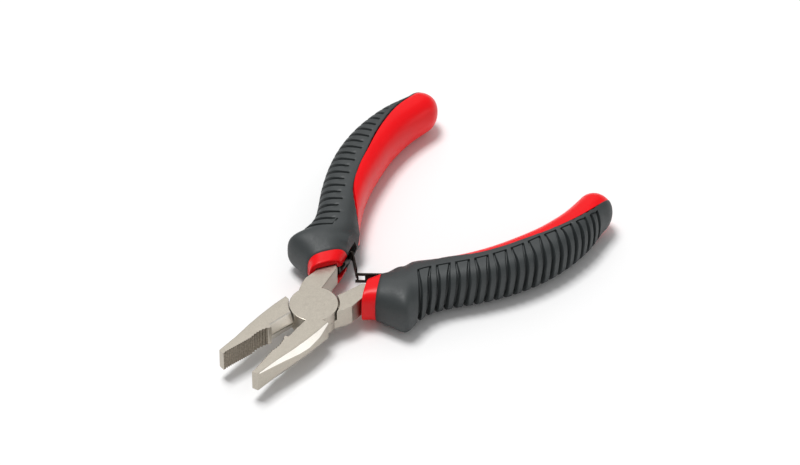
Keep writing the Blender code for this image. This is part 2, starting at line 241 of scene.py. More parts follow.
def add_node(tree, kind, settings=None, values=None, links=None):
    """Adds a shader node with its settings, input values and links. A linked node stands for its first
    output."""
    node = tree.nodes.new(kind)
    for name, value in (settings or {}).items():
        setattr(node, name, value)
    for name, value in (values or {}).items():
        node.inputs[name].default_value = value
    for name, source in (links or {}).items():
        tree.links.new(source.outputs[0] if hasattr(source, "outputs") else source, node.inputs[name])
    return node


# A noise's values lie mostly in this span
NOISE_SPAN = {"From Min": 0.3, "From Max": 0.7}
NOISE_DETAIL = 3.0


def skin(name, colour, cloud, gloss, grain, stretch=(1, 1, 1), **values):
    """A material whose tone, roughness and relief each follow a noise of their own over the object.
    cloud is (feature in mm, darkest and lightest share of the colour), gloss is (feature in mm, roughness
    from, to) and grain is (feature in mm, height in mm, strength)."""
    made = bpy.data.materials.new(name)
    made.use_nodes = True
    tree = made.node_tree
    tree.nodes.clear()
    coords = add_node(tree, "ShaderNodeTexCoord")
    scale = {"Scale": [share / MM for share in stretch]}
    where = add_node(tree, "ShaderNodeMapping", None, scale, {"Vector": coords.outputs["Object"]})
    field = [
        add_node(
            tree, "ShaderNodeTexNoise", None, {"Scale": 1 / size, "Detail": NOISE_DETAIL}, {"Vector": where}
        )
        for size in (cloud[0], gloss[0], grain[0])
    ]
    level = [
        add_node(
            tree, "ShaderNodeMapRange", None, {**NOISE_SPAN, "To Min": low, "To Max": high},
            {"Value": source},
        )
        for source, (_, low, high) in zip(field, (cloud, gloss))
    ]
    toned = add_node(
        tree, "ShaderNodeVectorMath", {"operation": "SCALE"}, {"Vector": colour[:3]}, {"Scale": level[0]}
    )
    relief = {"Distance": grain[1] * MM, "Strength": grain[2]}
    normal = add_node(tree, "ShaderNodeBump", None, relief, {"Height": field[2]})
    links = {"Base Color": toned, "Roughness": level[1], "Normal": normal}
    shader = add_node(tree, "ShaderNodeBsdfPrincipled", None, values, links)
    add_node(tree, "ShaderNodeOutputMaterial", None, None, {"Surface": shader})
    return made


def satin_steel(name, colour):
    """Nickel plated over a tumbled forging: warm grey, even satin sheen with a fine sparkling grain. The
    grain is drawn at 0.35 mm, coarser than the real 0.1 mm, so that it shows from a metre away."""
    return skin(name, colour, (0.35, 0.93, 1.06), (0.9, 0.36, 0.44), (0.35, 0.01, 0.8), Metallic=1.0)


def ground_steel(name, colour):
    """Bevels ground after plating: brighter than the satin, with fine straight grinding lines."""
    along = (9.0, 9.0, 0.6)
    return skin(name, colour, (1.0, 0.96, 1.04), (1.0, 0.26, 0.36), (1.0, 0.003, 0.5), along, Metallic=1.0)


def tooth_steel(name, colour):
    """Cut teeth under thin plating: greyer, darker and rougher than the flats, the darker tone partly
    painted shade among the serrations, and varying at random in small patches.
    """
    return skin(name, colour, (0.5, 0.7, 1.1), (0.5, 0.55, 0.4), (0.12, 0.006, 0.8), Metallic=1.0)


def oxide_steel(name, colour):
    """Black oxide on spring steel: brown-black, low sheen, worn a little lighter in patches."""
    return skin(name, colour, (1.2, 0.8, 1.4), (1.2, 0.46, 0.34), (0.2, 0.004, 0.5), Metallic=0.85)


def red_plastic(name, colour):
    """Moulded polypropylene: saturated red, semi-gloss, slightly wavy skin and fine mould texture."""
    values = {"Specular IOR Level": 0.22}
    return skin(name, colour, (7.0, 0.97, 1.03), (0.7, 0.3, 0.38), (1.4, 0.02, 0.5), **values)


def grey_rubber(name, colour):
    """Moulded thermoplastic rubber: neutral dark grey, matt, with a fine grain."""
    values = {"Specular IOR Level": 0.6}
    return skin(name, colour, (4.0, 0.94, 1.06), (0.5, 0.5, 0.62), (0.22, 0.012, 0.8), **values)


def studio_floor(name, colour):
    """Seamless paper: nearly white, matt, with faint mottling and fibres too fine to see."""
    values = {"Specular IOR Level": 0.1}
    return skin(name, colour, (60.0, 0.99, 1.01), (9.0, 0.85, 0.95), (0.5, 0.01, 0.1), **values)


def finish(name, maker, colour):
    """The material of that name, made once."""
    return bpy.data.materials.get(name) or maker(name, tuple(colour))


# Shapes


def new_object(bm, name, turn_outwards=True):
    """Closes the seams of a bmesh, turns its faces outwards and makes it an object."""
    bmesh.ops.remove_doubles(bm, verts=bm.verts, dist=MERGE)
    bmesh.ops.dissolve_degenerate(bm, dist=MERGE, edges=bm.edges)
    if turn_outwards:
        bmesh.ops.recalc_face_normals(bm, faces=bm.faces)
    mesh = bpy.data.meshes.new(name)
    bm.to_mesh(mesh)
    bm.free()
    obj = bpy.data.objects.new(name, mesh)
    bpy.context.scene.collection.objects.link(obj)
    return obj


def combine(obj, tools, operation):
    """Joins or cuts obj with each tool in turn, then removes the tools."""
    for tool in tools:
        modifier = obj.modifiers.new(tool.name, "BOOLEAN")
        modifier.operation = operation
        modifier.solver = "EXACT"
        modifier.object = tool
    graph = bpy.context.evaluated_depsgraph_get()
    made = bpy.data.meshes.new_from_object(obj.evaluated_get(graph))
    obj.modifiers.clear()
    obj.data = made
    for tool in tools:
        bpy.data.objects.remove(tool, do_unlink=True)
    return obj


def prism(name, outline, low, high, edge=0.0):
    """A vertical prism on an outline in millimetres, its top and bottom edges broken by edge."""
    bm = bmesh.new()
    ring = bmesh.ops.create_circle(bm, cap_ends=True, segments=len(outline), radius=1)
    for vert, (x, y) in zip(ring["verts"], outline):
        vert.co = (x * MM, y * MM, low)
    raised = bmesh.ops.extrude_face_region(bm, geom=bm.faces[:])
    top = [item for item in raised["geom"] if isinstance(item, bmesh.types.BMVert)]
    bmesh.ops.translate(bm, verts=top, vec=(0, 0, high - low))
    if edge:
        break_rims(bm, edge)
    return new_object(bm, name)


def break_rims(bm, width):
    """Rounds the level edges of an upright solid a little."""
    rims = [item for item in bm.edges if abs(item.verts[0].co.z - item.verts[1].co.z) < LEVEL]
    bmesh.ops.bevel(
        bm, geom=rims, offset=width, offset_type="OFFSET", segments=2, profile=0.5, affect="EDGES",
        clamp_overlap=True, material=-1,
    )


def disc(name, radius, low, high, edge=0.0, segments=128, x=0.0):
    """An upright disc with broken rims."""
    bm = bmesh.new()
    made = bmesh.ops.create_cone(
        bm, cap_ends=True, segments=segments, radius1=radius, radius2=radius, depth=high - low
    )
    bmesh.ops.translate(bm, verts=made["verts"], vec=(x, 0, (low + high) / 2))
    if edge:
        break_rims(bm, edge)
    return new_object(bm, name)


def turned(name, profile, steps=96):
    """A solid turned about Z from (radius, height) points, both ends on the axis."""
    bm = bmesh.new()
    start = bmesh.ops.create_vert(bm, co=(profile[0][0], 0, profile[0][1]))["vert"][0]
    line = [start]
    for radius, height in profile[1:]:
        line.append(bmesh.ops.create_vert(bm, co=(radius, 0, height))["vert"][0])
    edges = [bm.edges.new(pair) for pair in zip(line, line[1:])]
    bmesh.ops.spin(
        bm, geom=line + edges, cent=(0, 0, 0), axis=(0, 0, 1), angle=math.tau, steps=steps, use_merge=True
    )
    return new_object(bm, name)


def lattice(bm, rows, columns, place, skip=None):
    """A grid of rows by columns, without the cells that skip(row, column) names, each point put where
    place(row, column) says."""
    made = bmesh.ops.create_grid(bm, x_segments=rows - 1, y_segments=columns - 1, size=1)
    cell = {
        vert: (round((vert.co.x + 1) / 2 * (rows - 1)), round((vert.co.y + 1) / 2 * (columns - 1)))
        for vert in made["verts"]
    }
    if skip:
        corner = {face: [min(cell[vert][k] for vert in face.verts) for k in (0, 1)] for face in bm.faces}
        bmesh.ops.delete(bm, geom=[face for face, at in corner.items() if skip(*at)], context="FACES")
    for vert, at in cell.items():
        if vert.is_valid:
            vert.co = place(*at)


def between(table, position, column):
    """Linear interpolation in a table of falling first values."""
    for first, second in zip(table, table[1:]):
        if first[0] >= position >= second[0]:
            share = (first[0] - position) / (first[0] - second[0])
            return first[column] + (second[column] - first[column]) * share
    return table[-1][column] if position < table[-1][0] else table[0][column]


def close_openings(bm):
    """Welds the seams, then puts a face over each ring left open."""
    bmesh.ops.remove_doubles(bm, verts=bm.verts, dist=MERGE)
    bmesh.ops.holes_fill(bm, edges=[item for item in bm.edges if item.is_boundary], sides=0)


def tooth_offset(sizes, distance):
    """How far the teeth stand back from the jaw's inner face at a distance from the pivot."""
    if TEETH_TO <= distance <= TEETH_FROM:
        pitch = sizes.tooth_pitch / MM
        phase = (TEETH_FROM - distance) / pitch % 1
        return sizes.tooth_depth / MM * (1 - abs(2 * phase - 1))
    if SCALLOPS_TO <= distance < TEETH_TO:
        pitch = sizes.scallop_pitch / MM
        return sizes.scallop_depth / MM * abs(math.sin(math.pi * (TEETH_TO - distance) / pitch))
    return 0.0


def jaw_distances(sizes):
    """Section distances: the table's own, each crest and root of the teeth, and the scallops' curves."""
    found = {row[0] for row in JAW_SECTIONS}
    pitch = sizes.tooth_pitch / MM
    count = int((TEETH_FROM - TEETH_TO) / pitch * 2)
    found |= {TEETH_FROM - pitch / 2 * step for step in range(count + 1)}
    step = sizes.scallop_pitch / MM / 8
    found |= {TEETH_TO - step * k for k in range(1, int((TEETH_TO - SCALLOPS_TO) / step) + 1)}
    return sorted(found, reverse=True)


def jaw(sizes):
    """One jaw: serrations at the tip, pipe grip, cutter bevels, outer chamfers, all edges lightly broken."""
    edge = sizes.edge / MM
    face = HALF_THICKNESS / MM
    distances = jaw_distances(sizes)

    def section(distance):
        inner_mid, inner_face, outer_face, outer_mid, depth = (
            between(JAW_SECTIONS, distance, column) for column in range(1, 6)
        )
        back = tooth_offset(sizes, distance)
        inner_mid += back
        inner_face += back
        slope = edge * (inner_face - inner_mid) / (face - CUTTER_LAND)
        half = [
            (inner_mid, 0), (inner_mid, CUTTER_LAND),
            (inner_face - slope, face - edge), (inner_face + edge, face),
            (outer_face - edge, face), (outer_face + edge * 0.4, face - edge * 0.5),
            (outer_mid, face - depth),
        ]
        return half + [(y, -z) for y, z in reversed(half)]

    sections = [section(distance) for distance in distances]
    columns = len(sections[0])

    def place(row, column):
        y, z = sections[row][column % columns]
        return Vector((-distances[row], -y, z)) * MM

    bm = bmesh.new()
    lattice(bm, len(distances), columns + 1, place)
    close_openings(bm)
    return new_object(bm, "jaw")


def rivet_profile(sizes, extra, overshoot):
    """The flush rivet's profile, made larger all round by extra and longer at both ends by overshoot."""
    head = sizes.rivet_radius + extra
    shank = sizes.rivet_radius - RIVET_STEP * MM + extra
    neck = HALF_THICKNESS - RIVET_HEAD * MM
    ends = [(0, -HALF_THICKNESS - overshoot), (head, -HALF_THICKNESS - overshoot)]
    if overshoot:
        ends.append((head, -HALF_THICKNESS))
    lower = ends + [(shank, -neck)]
    return lower + [(radius, -height) for radius, height in reversed(lower)]


def forged_half(sizes):
    """One half in its closed frame: boss, jaw and neck, cut away where the other boss turns in it."""
    half = disc("forged_half", sizes.boss_radius, -HALF_THICKNESS / 2, HALF_THICKNESS, sizes.edge)
    neck = prism("neck", TANG, -HALF_THICKNESS, HALF_THICKNESS, sizes.edge)
    half = combine(half, [jaw(sizes), neck], "UNION")
    lap = disc("lap", sizes.lap_radius, -4 * HALF_THICKNESS, LAP_HEIGHT * MM, 0, 160, LAP_OFFSET * MM)
    bore = turned("bore", rivet_profile(sizes, RIVET_GAP * MM, MM))
    return combine(half, [lap, bore], "DIFFERENCE")


def finish_faces(mesh):
    """Gives the cutter's bevels and the outer chamfers the second material, and the teeth the third, whose
    darker colour partly paints the shade among the serrations.
    """
    for face in mesh.polygons:
        centre = face.center / MM
        inner = centre.y > DEEPEST_INNER_FACE and face.normal.y > 0.3 and centre.x < BOSS_SIDE
        cutter = inner and centre.x > -CUTTER_START and abs(centre.z) > CUTTER_LAND
        outer = CHAMFER_TIP < centre.x < BOSS_SIDE and face.normal.y < -0.5
        if cutter or outer and 0.2 < abs(face.normal.z) < 0.85:
            face.material_index = 1
        # The serrated inner faces get the darker tooth material, which partly paints the shade among the
        # teeth
        elif inner and centre.x < -SCALLOPS_TO and face.normal.z < 0.5:
            face.material_index = 2


# Grips


def spline(values, position):
    """The smooth curve through the values at a fractional position."""
    index = min(int(position), len(values) - 2)
    t = position - index
    a, b, c, d = (values[max(0, min(len(values) - 1, index + step))] for step in (-1, 0, 1, 2))
    return 0.5 * (2 * b + t * (c - a) + t * t * (2 * a - 5 * b + 4 * c - d) + t**3 * (3 * (b - c) + d - a))


OUTER = [Vector((*station[0], 0)) for station in GRIP_STATIONS]
INNER = [Vector((*station[1], 0)) for station in GRIP_STATIONS]
DEPTH = [station[2] for station in GRIP_STATIONS]
GREY_END = [float(station[3]) for station in GRIP_STATIONS]
POWER = [station[4] for station in GRIP_STATIONS]


def grip_point(position, direction, inset):
    """A point of the grip's skin, or inset below it: position counts stations, and past the last one it runs
    over the round end. The direction, in degrees, is seen from the section's middle: 0 outwards, 90 up."""
    station = min(position, LAST)
    outer = spline(OUTER, station)
    inner = spline(INNER, station)
    across = (outer - inner).normalized()
    along = across.cross(Vector((0, 0, 1)))
    cap = math.radians(max(0.0, position - LAST) * 90)
    turn = math.radians(direction)
    width = (outer - inner).length / 2 - inset
    height = spline(DEPTH, station) - SKIN_ALLOWANCE - inset
    power = spline(POWER, station)
    reach = (abs(math.cos(turn) / width) ** power + abs(math.sin(turn) / height) ** power) ** (-1 / power)
    y = reach * math.cos(turn) * math.cos(cap)
    z = reach * math.sin(turn) * math.cos(cap)
    x = (CAP_LENGTH - inset) * math.sin(cap)
    return ((outer + inner) / 2 + along * x + across * y + Vector((0, 0, z))) * MM


def grey_end(position):
    """The direction, in degrees, in which the grey ends at a position."""
    return 180.0 if position <= RED_TIP else min(180.0, spline(GREY_END, min(position, LAST)))


def centre_line(steps=20):
    """(position, distance along the grip's middle in millimetres) from the collar to the last station."""
    table = [(0.0, 0.0)]
    before = (OUTER[0] + INNER[0]) / 2
    for k in range(1, LAST * steps + 1):
        here = (spline(OUTER, k / steps) + spline(INNER, k / steps)) / 2
        table.append((k / steps, table[-1][1] + (here - before).length))
        before = here
    return table


LINE = centre_line()


def position_at(distance):
    """The position that lies a distance along the grip, on past the last station over the round end."""
    for (p0, s0), (p1, s1) in zip(LINE, LINE[1:]):
        if distance <= s1:
            return p0 + (p1 - p0) * (distance - s0) / (s1 - s0)
    return LAST + min(1.0, (distance - LINE[-1][1]) / CAP_TRAVEL)


def distance_at(position):
    """The distance along the grip of a position: position_at the other way round."""
    for (p0, s0), (p1, s1) in zip(LINE, LINE[1:]):
        if position <= p1:
            return s0 + (s1 - s0) * (position - p0) / (p1 - p0)
    return LINE[-1][1] + (position - LAST) * CAP_TRAVEL


def ease(value, start, end):
    """0 up to the start, 1 from the end on, and smooth between them."""
    t = max(0.0, min(1.0, (value - start) / (end - start)))
    return t * t * (3 - 2 * t)


FIRST_GROOVE = distance_at(4.95)
GRIP_LENGTH = distance_at(LAST + 1)

# The grooves: how many, the direction in which they end, and (offset in groove widths, share of the depth)
# of each row across one
GROOVES = 22
GROOVE_END = 98.0
GROOVE_PROFILE = (
    (-0.62, 0.0), (-0.5, 0.12), (-0.36, 0.9), (-0.18, 1.0),
    (0.18, 1.0), (0.36, 0.9), (0.5, 0.12), (0.62, 0.0),
)
# The middle of a groove runs back this far, and the whole groove leans this far for every degree
GROOVE_BOW = 1.9
GROOVE_LEAN = 0.012
# The two grooves of a pair lie this far apart from even spacing beneath, and this deep a link joins them
PAIR_SHIFT = 0.42
LINK_DEPTH = 0.42
# Rows behind the collar, where the shell's front drops to the red
FRONT_STEPS = (0, 0.1, 0.25, 0.45)
FRONT_DROP = 0.4
SMOOTH_ROWS = 18
SMOOTH_END = 1.2
CAP_ROWS = 12


def groove_rows(pitch):
    """(distance, offset in groove widths, groove number or None, depth share, whether a link runs there) of
    each row of the shell, closer together at the grooves."""
    start = distance_at(COLLAR_END)
    rows = [(start + step, 0, None, 0, False) for step in FRONT_STEPS]
    gap = (FIRST_GROOVE - SMOOTH_END - start - FRONT_STEPS[-1]) / SMOOTH_ROWS
    rows += [(start + FRONT_STEPS[-1] + gap * k, 0, None, 0, False) for k in range(1, SMOOTH_ROWS + 1)]
    for number in range(GROOVES):
        centre = FIRST_GROOVE + pitch * number
        first = number % 2 == 0
        rows += [(centre, offset, number, share, (offset > 0) == first) for offset, share in GROOVE_PROFILE]
        rows.append((centre + pitch / 2, 0, None, 0, first))
    last = FIRST_GROOVE + pitch * (GROOVES - 0.5)
    cap = [last + (GRIP_LENGTH - last) * k / CAP_ROWS for k in range(1, CAP_ROWS + 1)]
    return rows + [(distance, 0, None, 0, False) for distance in cap]


def slant(direction, distance):
    """How far a groove has run back towards the pivot at a direction, in millimetres."""
    at = max(-GROOVE_END, min(GROOVE_END, direction))
    back = GROOVE_BOW * (1 - (at / GROOVE_END) ** 2) + GROOVE_LEAN * (GROOVE_END + at)
    arriving = ease(distance, FIRST_GROOVE - 10, FIRST_GROOVE - 1) * (1 - ease(abs(direction), 125, 170))
    return back * arriving * (1 - ease(distance, GRIP_LENGTH - 11, GRIP_LENGTH))


def grey_columns(end):
    """(direction, groove share, link share, rim inset) of each column of the shell's skin. The links run
    just inside the grooves' ends, and the rim is rounded where the grey ends."""
    stop = min(GROOVE_END, end - 8)
    half = [(stop * share / 15, 1, 0, 0) for share in range(15)]
    half += [(stop - 4.4, 1, 0, 0), (stop - 3.6, 1, 1, 0), (stop - 0.9, 1, 1, 0), (stop, 0, 0, 0)]
    half += [(stop + (end - stop) * share, 0, 0, 0) for share in (0.3, 0.6)]
    half += [(end - 2.4, 0, 0, 0), (end - 0.8, 0, 0, 0.03), (end, 0, 0, 0.1)]
    return [(-direction, *rest) for direction, *rest in reversed(half[1:])] + half


def overmould(sizes):
    """The grey shell with its grooves: a full sleeve behind the collar, open further on along the grip's
    inner side."""
    rows = groove_rows(sizes.rib_pitch / MM)
    rows.insert(0, rows[0])
    skin_columns = len(grey_columns(180))
    total = 2 * skin_columns
    shell = sizes.shell / MM

    def groove_inset(direction, number, share, linked, groove, link):
        """How deep a groove or a link between two lies below the skin."""
        side = 1 - ease(abs(direction), 40, 95)
        fading = 1 if number is None or number < GROOVES - 3 else 0.75
        short = number is not None and number % 2 and direction > GROOVE_END - 8
        depth = 0 if short else share * groove * fading * sizes.rib_depth / MM * (0.5 + 0.5 * side)
        joined = linked and (direction < 0 or (number or 0) < 2 and number is not None)
        return max(depth, LINK_DEPTH * link if joined else 0)

    def place(row, column):
        distance, offset, number, share, linked = rows[row]
        column %= total
        rough = position_at(distance)
        end = grey_end(rough)
        beneath = column >= skin_columns
        direction, groove, link, rim = grey_columns(end)[total - 1 - column if beneath else column]
        if beneath or row == 0:
            return grip_point(rough, direction, shell)
        wide = 0.5 + 0.5 * (1 - ease(abs(direction), 30, 95))
        shift = 0 if number is None else PAIR_SHIFT if number % 2 else -PAIR_SHIFT
        apart = shift * ease(-direction, 55, 95)
        moved = distance + offset * wide * sizes.rib_width / MM + apart - slant(direction, distance)
        here = max(COLLAR_END, position_at(moved))
        front = FRONT_DROP * (1 - ease(distance, rows[1][0], rows[4][0]))
        opened = 0 if end > 179 else rim
        deep = groove_inset(direction, number, share, linked, groove, link)
        return grip_point(here, direction, max(deep, front, opened))

    def skip(row, column):
        wall = column in (skin_columns - 1, total - 1)
        here, following = position_at(rows[row][0]), position_at(rows[row + 1][0])
        return wall and here < RED_TIP - 0.001 and following <= RED_TIP

    bm = bmesh.new()
    lattice(bm, len(rows), total + 1, place, skip)
    return new_object(bm, "overmould")


# The pocket for the neck: how far it reaches inwards, outwards and up
POCKET = (3.6, 3.0, 3.55)
# The collar's skin lies this deep, and its rounded rim goes through (position, inset)
COLLAR_INSET = 0.28
COLLAR_RIM = ((0.0, 0.75), (0.02, 0.5), (0.07, 0.34), (0.14, COLLAR_INSET))
UNDER_COLUMNS = 57
RED_COLUMNS = 31
UNDER_GAP = 0.01


def pocket_point(position, direction):
    """A point of the square pocket that the neck runs into."""
    inward, outward, high = POCKET
    turn = math.radians(direction)
    across = math.cos(turn)
    up = abs(math.sin(turn))
    reach = min((outward if across > 0 else inward) / max(abs(across), 1e-6), high / max(up, 1e-6))
    outer = spline(OUTER, position)
    inner = spline(INNER, position)
    side = (outer - inner).normalized()
    return ((outer + inner) / 2 + side * reach * across + Vector((0, 0, reach * math.sin(turn)))) * MM


def core_rows():
    """(position, inset of the whole ring or None under the shell, whether it is the pocket) of each row."""
    rows = [(0.35, 0, True), (0.03, 0, True)]
    rows += [(position, inset, False) for position, inset in COLLAR_RIM]
    rows += [(COLLAR_END * share, COLLAR_INSET, False) for share in (0.3, 0.45, 0.6, 0.75, 0.9, 1.04)]
    hidden = [COLLAR_END + 0.05] + [COLLAR_END + k / 4 for k in range(1, int((RED_TIP - COLLAR_END) * 4))]
    hidden += [RED_TIP + k / 8 for k in range(int((LAST - RED_TIP) * 8) + 1)]
    hidden += [LAST + angle / 90 for angle in (8, 16, 24, 32, 40, 48, 56, 64, 71, 78, 84, 90)]
    return rows + [(position, None, False) for position in hidden]


def core(sizes):
    """The red sleeve: bare collar and inner side, and the rest of it lies under the grey shell."""
    rows = core_rows()
    total = UNDER_COLUMNS + RED_COLUMNS
    under = sizes.shell / MM + UNDER_GAP

    def place(row, column):
        position, inset, pocket = rows[row]
        column %= total
        end = grey_end(position)
        if column < UNDER_COLUMNS:
            direction = end * (2 * column / (UNDER_COLUMNS - 1) - 1)
            beneath = True
        else:
            direction = end + (360 - 2 * end) * (column - UNDER_COLUMNS) / (RED_COLUMNS - 1)
            beneath = False
        if pocket:
            return pocket_point(position, direction)
        if inset is None:
            inset = under if beneath else RED_INSET
        return grip_point(position, direction, inset)

    def skip(row, column):
        return column >= UNDER_COLUMNS - 1 and rows[row + 1][0] <= RED_TIP

    bm = bmesh.new()
    lattice(bm, len(rows), total + 1, place, skip)
    close_openings(bm)
    return new_object(bm, "core")


def window():
    """Cutter for the slot in the grip's inner side that the spring comes out of."""
    return prism("window", WINDOW, -WINDOW_HALF_WIDTH * MM, WINDOW_HALF_WIDTH * MM)


# Springs


def spring_path(legs=12, bend=14):
    """Points of a spring's centre line, in millimetres: root leg, round bend, free leg."""
    root = Vector(SPRING_ROOT)
    root_end = Vector(SPRING_ROOT_END)
    tip = Vector(SPRING_TIP)
    along = (root_end - root).normalized()
    side = Vector((along.y, -along.x))
    centre = root_end + side * SPRING_BEND_RADIUS
    start = math.atan2(-side.y, -side.x)
    reach = tip - centre
    tangent = math.atan2(reach.y, reach.x) + math.acos(SPRING_BEND_RADIUS / reach.length)
    turn = (tangent - start) % math.tau - math.tau
    angles = [start + turn * k / bend for k in range(bend + 1)]
    curve = [centre + SPRING_BEND_RADIUS * Vector((math.cos(a), math.sin(a))) for a in angles]
    return (
        [root.lerp(root_end, k / legs) for k in range(legs)] + curve
        + [curve[-1].lerp(tip, k / legs) for k in range(1, legs + 1)]
    )


def strip(name, path, width, thickness, edge=0.0):
    """A flat strip standing on its edge along a path, centred on the lap plane."""
    left = []
    right = []
    for index, here in enumerate(path):
        along = (path[min(index + 1, len(path) - 1)] - path[max(index - 1, 0)]).normalized()
        side = Vector((-along.y, along.x)) * (thickness / MM / 2)
        left.append(tuple(here + side))
        right.append(tuple(here - side))
    return prism(name, left + right[::-1], -width / 2, width / 2, edge)


def tip_block(name, length, low, high):
    """A cutter over the last length of the free leg, between two heights."""
    path = spring_path()
    along = (path[-1] - path[-2]).normalized()
    block = strip(name, [path[-1] - along * length, path[-1] + along], high - low, 4 * MM)
    block.data.transform(Matrix.Translation((0, 0, (low + high) / 2)))
    return block


def leaf_spring(sizes, name, cutters):
    """A spring with its free end cut to shape."""
    blank = strip(name, spring_path(), sizes.spring_width, sizes.spring_thickness, SPRING_EDGE * MM)
    return combine(blank, cutters, "DIFFERENCE")


def tongue(sizes):
    """The spring whose free end narrows to a tongue."""
    half = sizes.spring_width / 2 + MM
    side = TONGUE_HALF_WIDTH * MM
    cutters = [
        tip_block("above", TONGUE_LENGTH, side, half),
        tip_block("below", TONGUE_LENGTH, -half, -side),
    ]
    return leaf_spring(sizes, "tongue", cutters)


def fork(sizes):
    """The spring whose free end has a slot for the other one's tongue."""
    side = SLOT_HALF_WIDTH * MM
    return leaf_spring(sizes, "fork", [tip_block("slot", SLOT_LENGTH, -side, side)])


def spring_rivet(sizes):
    """Small round-headed rivet through the spring's root leg into the tang."""
    root = Vector(SPRING_ROOT)
    along = (Vector(SPRING_ROOT_END) - root).normalized()
    foot = root + along * (SPRING_RIVET_DISTANCE - SPRING_ROOT[0])
    face = sizes.spring_thickness / 2
    radius, height = (value * MM for value in SMALL_RIVET_HEAD)
    shank = SMALL_RIVET_SHANK * MM
    depth = SMALL_RIVET_DEPTH * MM
    dome = [
        (radius * math.cos(math.radians(a)), face + height * math.sin(math.radians(a)))
        for a in (0, 15, 30, 45, 60, 75)
    ]
    profile = [(0, -depth), (shank, -depth), (shank, face), *dome, (0, face + height)]
    made = turned("small_rivet", profile, 48)
    turn = Vector((0, 0, 1)).rotation_difference(Vector((along.y, -along.x, 0))).to_matrix().to_4x4()
    turn.translation = Vector((foot.x, foot.y, 0)) * MM
    made.data.transform(turn)
    return made


# Placing


# Edges that turn more than this, in degrees, show as edges
SHARP = 30
SHARP_ON_FORGING = 14
SHARP_ON_GRIP = 40


def closed_to_world(sizes, body):
    """The matrix from a half's closed frame to the frame at rest: the lower half is turned over about X."""
    if body == "upper_lever":
        return Matrix.Translation(PIVOT) @ Matrix.Rotation(sizes.rest_angle, 4, "Z")
    turned_over = Matrix.Rotation(math.pi, 4, "X")
    return Matrix.Translation(PIVOT) @ Matrix.Rotation(-sizes.rest_angle, 4, "Z") @ turned_over


def dress(obj, name, node, materials, sharp=SHARP):
    """Names a finished piece, gives it its materials and hides the imported part of the node it stands for.
    """
    obj.name = name
    obj.data.name = name
    for item in materials:
        obj.data.materials.append(item)
    obj.data.shade_smooth()
    obj.data.set_sharp_from_angle(angle=math.radians(sharp))
    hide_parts(node)
    return obj


def place_pair(context, obj, stem, node, materials, sharp=SHARP):
    """The piece in its place on the upper half, and its copy on the lower one."""
    sizes = context.scene.pliers_sizes
    copy = obj.copy()
    copy.data = obj.data.copy()
    context.scene.collection.objects.link(copy)
    for item, side in ((obj, "upper"), (copy, "lower")):
        item.data.transform(closed_to_world(sizes, side + "_lever"))
        dress(item, f"{side}_{stem}", f"{side}_{node}", materials, sharp)
        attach(item, side + "_lever")


class PLIERS_OT_halves(bpy.types.Operator):
    """Builds the two forged halves with their teeth, cutters and chamfers"""

    bl_idname = "pliers.halves"
    bl_label = "Forged halves"

    def execute(self, context):
        colours = context.scene.pliers_colours
        steel = finish("satin_nickel_plated_steel", satin_steel, colours.steel)
        ground = finish("ground_bright_steel", ground_steel, colours.ground)
        half = forged_half(context.scene.pliers_sizes)
        # The tooth material's darker colour partly paints the shade among the serrations
        teeth = finish("cut_tooth_steel", tooth_steel, colours.teeth)
        finish_faces(half.data)
        materials = [steel, ground, teeth]
        place_pair(context, half, "forging", "half", materials, SHARP_ON_FORGING)
        return {"FINISHED"}


class PLIERS_OT_rivet(bpy.types.Operator):
    """Builds the pivot rivet, ground flush on both sides"""

    bl_idname = "pliers.rivet"
    bl_label = "Pivot rivet"

    def execute(self, context):
        steel = finish("satin_nickel_plated_steel", satin_steel, context.scene.pliers_colours.steel)
        rivet = turned("rivet", rivet_profile(context.scene.pliers_sizes, 0, 0))
        rivet.data.transform(Matrix.Translation(PIVOT))
        dress(rivet, "flush_rivet", "pivot_rivet", [steel])
        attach(rivet, "upper_lever")
        return {"FINISHED"}


class PLIERS_OT_springs(bpy.types.Operator):
    """Builds the two leaf springs, hooked into each other, in their places at rest"""

    bl_idname = "pliers.springs"
    bl_label = "Leaf springs"

    def execute(self, context):
        sizes = context.scene.pliers_sizes
        oxide = finish("black_oxide_spring_steel", oxide_steel, context.scene.pliers_colours.oxide)
        for maker, node, body, other in (
            (tongue, "leaf_spring_tongue", "upper_lever", "lower_lever"),
            (fork, "leaf_spring_fork", "lower_lever", "upper_lever"),
        ):
            spring = maker(sizes)
            to_world = closed_to_world(sizes, body)
            spring.data.transform(to_world)
            dress(spring, maker.__name__ + "_spring", node, [oxide])
            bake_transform(spring)
        return {"FINISHED"}


class PLIERS_OT_spring_rivets(bpy.types.Operator):
    """Builds the two small rivets that hold the springs"""

    bl_idname = "pliers.spring_rivets"
    bl_label = "Spring rivets"

    def execute(self, context):
        oxide = finish("black_oxide_spring_steel", oxide_steel, context.scene.pliers_colours.oxide)
        rivet = spring_rivet(context.scene.pliers_sizes)
        place_pair(context, rivet, "small_rivet", "spring_rivet", [oxide])
        return {"FINISHED"}


class PLIERS_OT_cores(bpy.types.Operator):
    """Builds the red cores of the two grips"""

    bl_idname = "pliers.cores"
    bl_label = "Red grip cores"

    def execute(self, context):
        red = finish("red_polypropylene", red_plastic, context.scene.pliers_colours.red)
        made = combine(core(context.scene.pliers_sizes), [window()], "DIFFERENCE")
        place_pair(context, made, "red_core", "grip_core", [red], SHARP_ON_GRIP)
        return {"FINISHED"}


class PLIERS_OT_shells(bpy.types.Operator):
    """Builds the ribbed grey shells of the two grips"""

    bl_idname = "pliers.shells"
    bl_label = "Grey grip shells"

    def execute(self, context):
        grey = finish("grey_thermoplastic_rubber", grey_rubber, context.scene.pliers_colours.grey)
        made = combine(overmould(context.scene.pliers_sizes), [window()], "DIFFERENCE")
        place_pair(context, made, "grey_shell", "grip_overmould", [grey], SHARP_ON_GRIP)
        return {"FINISHED"}


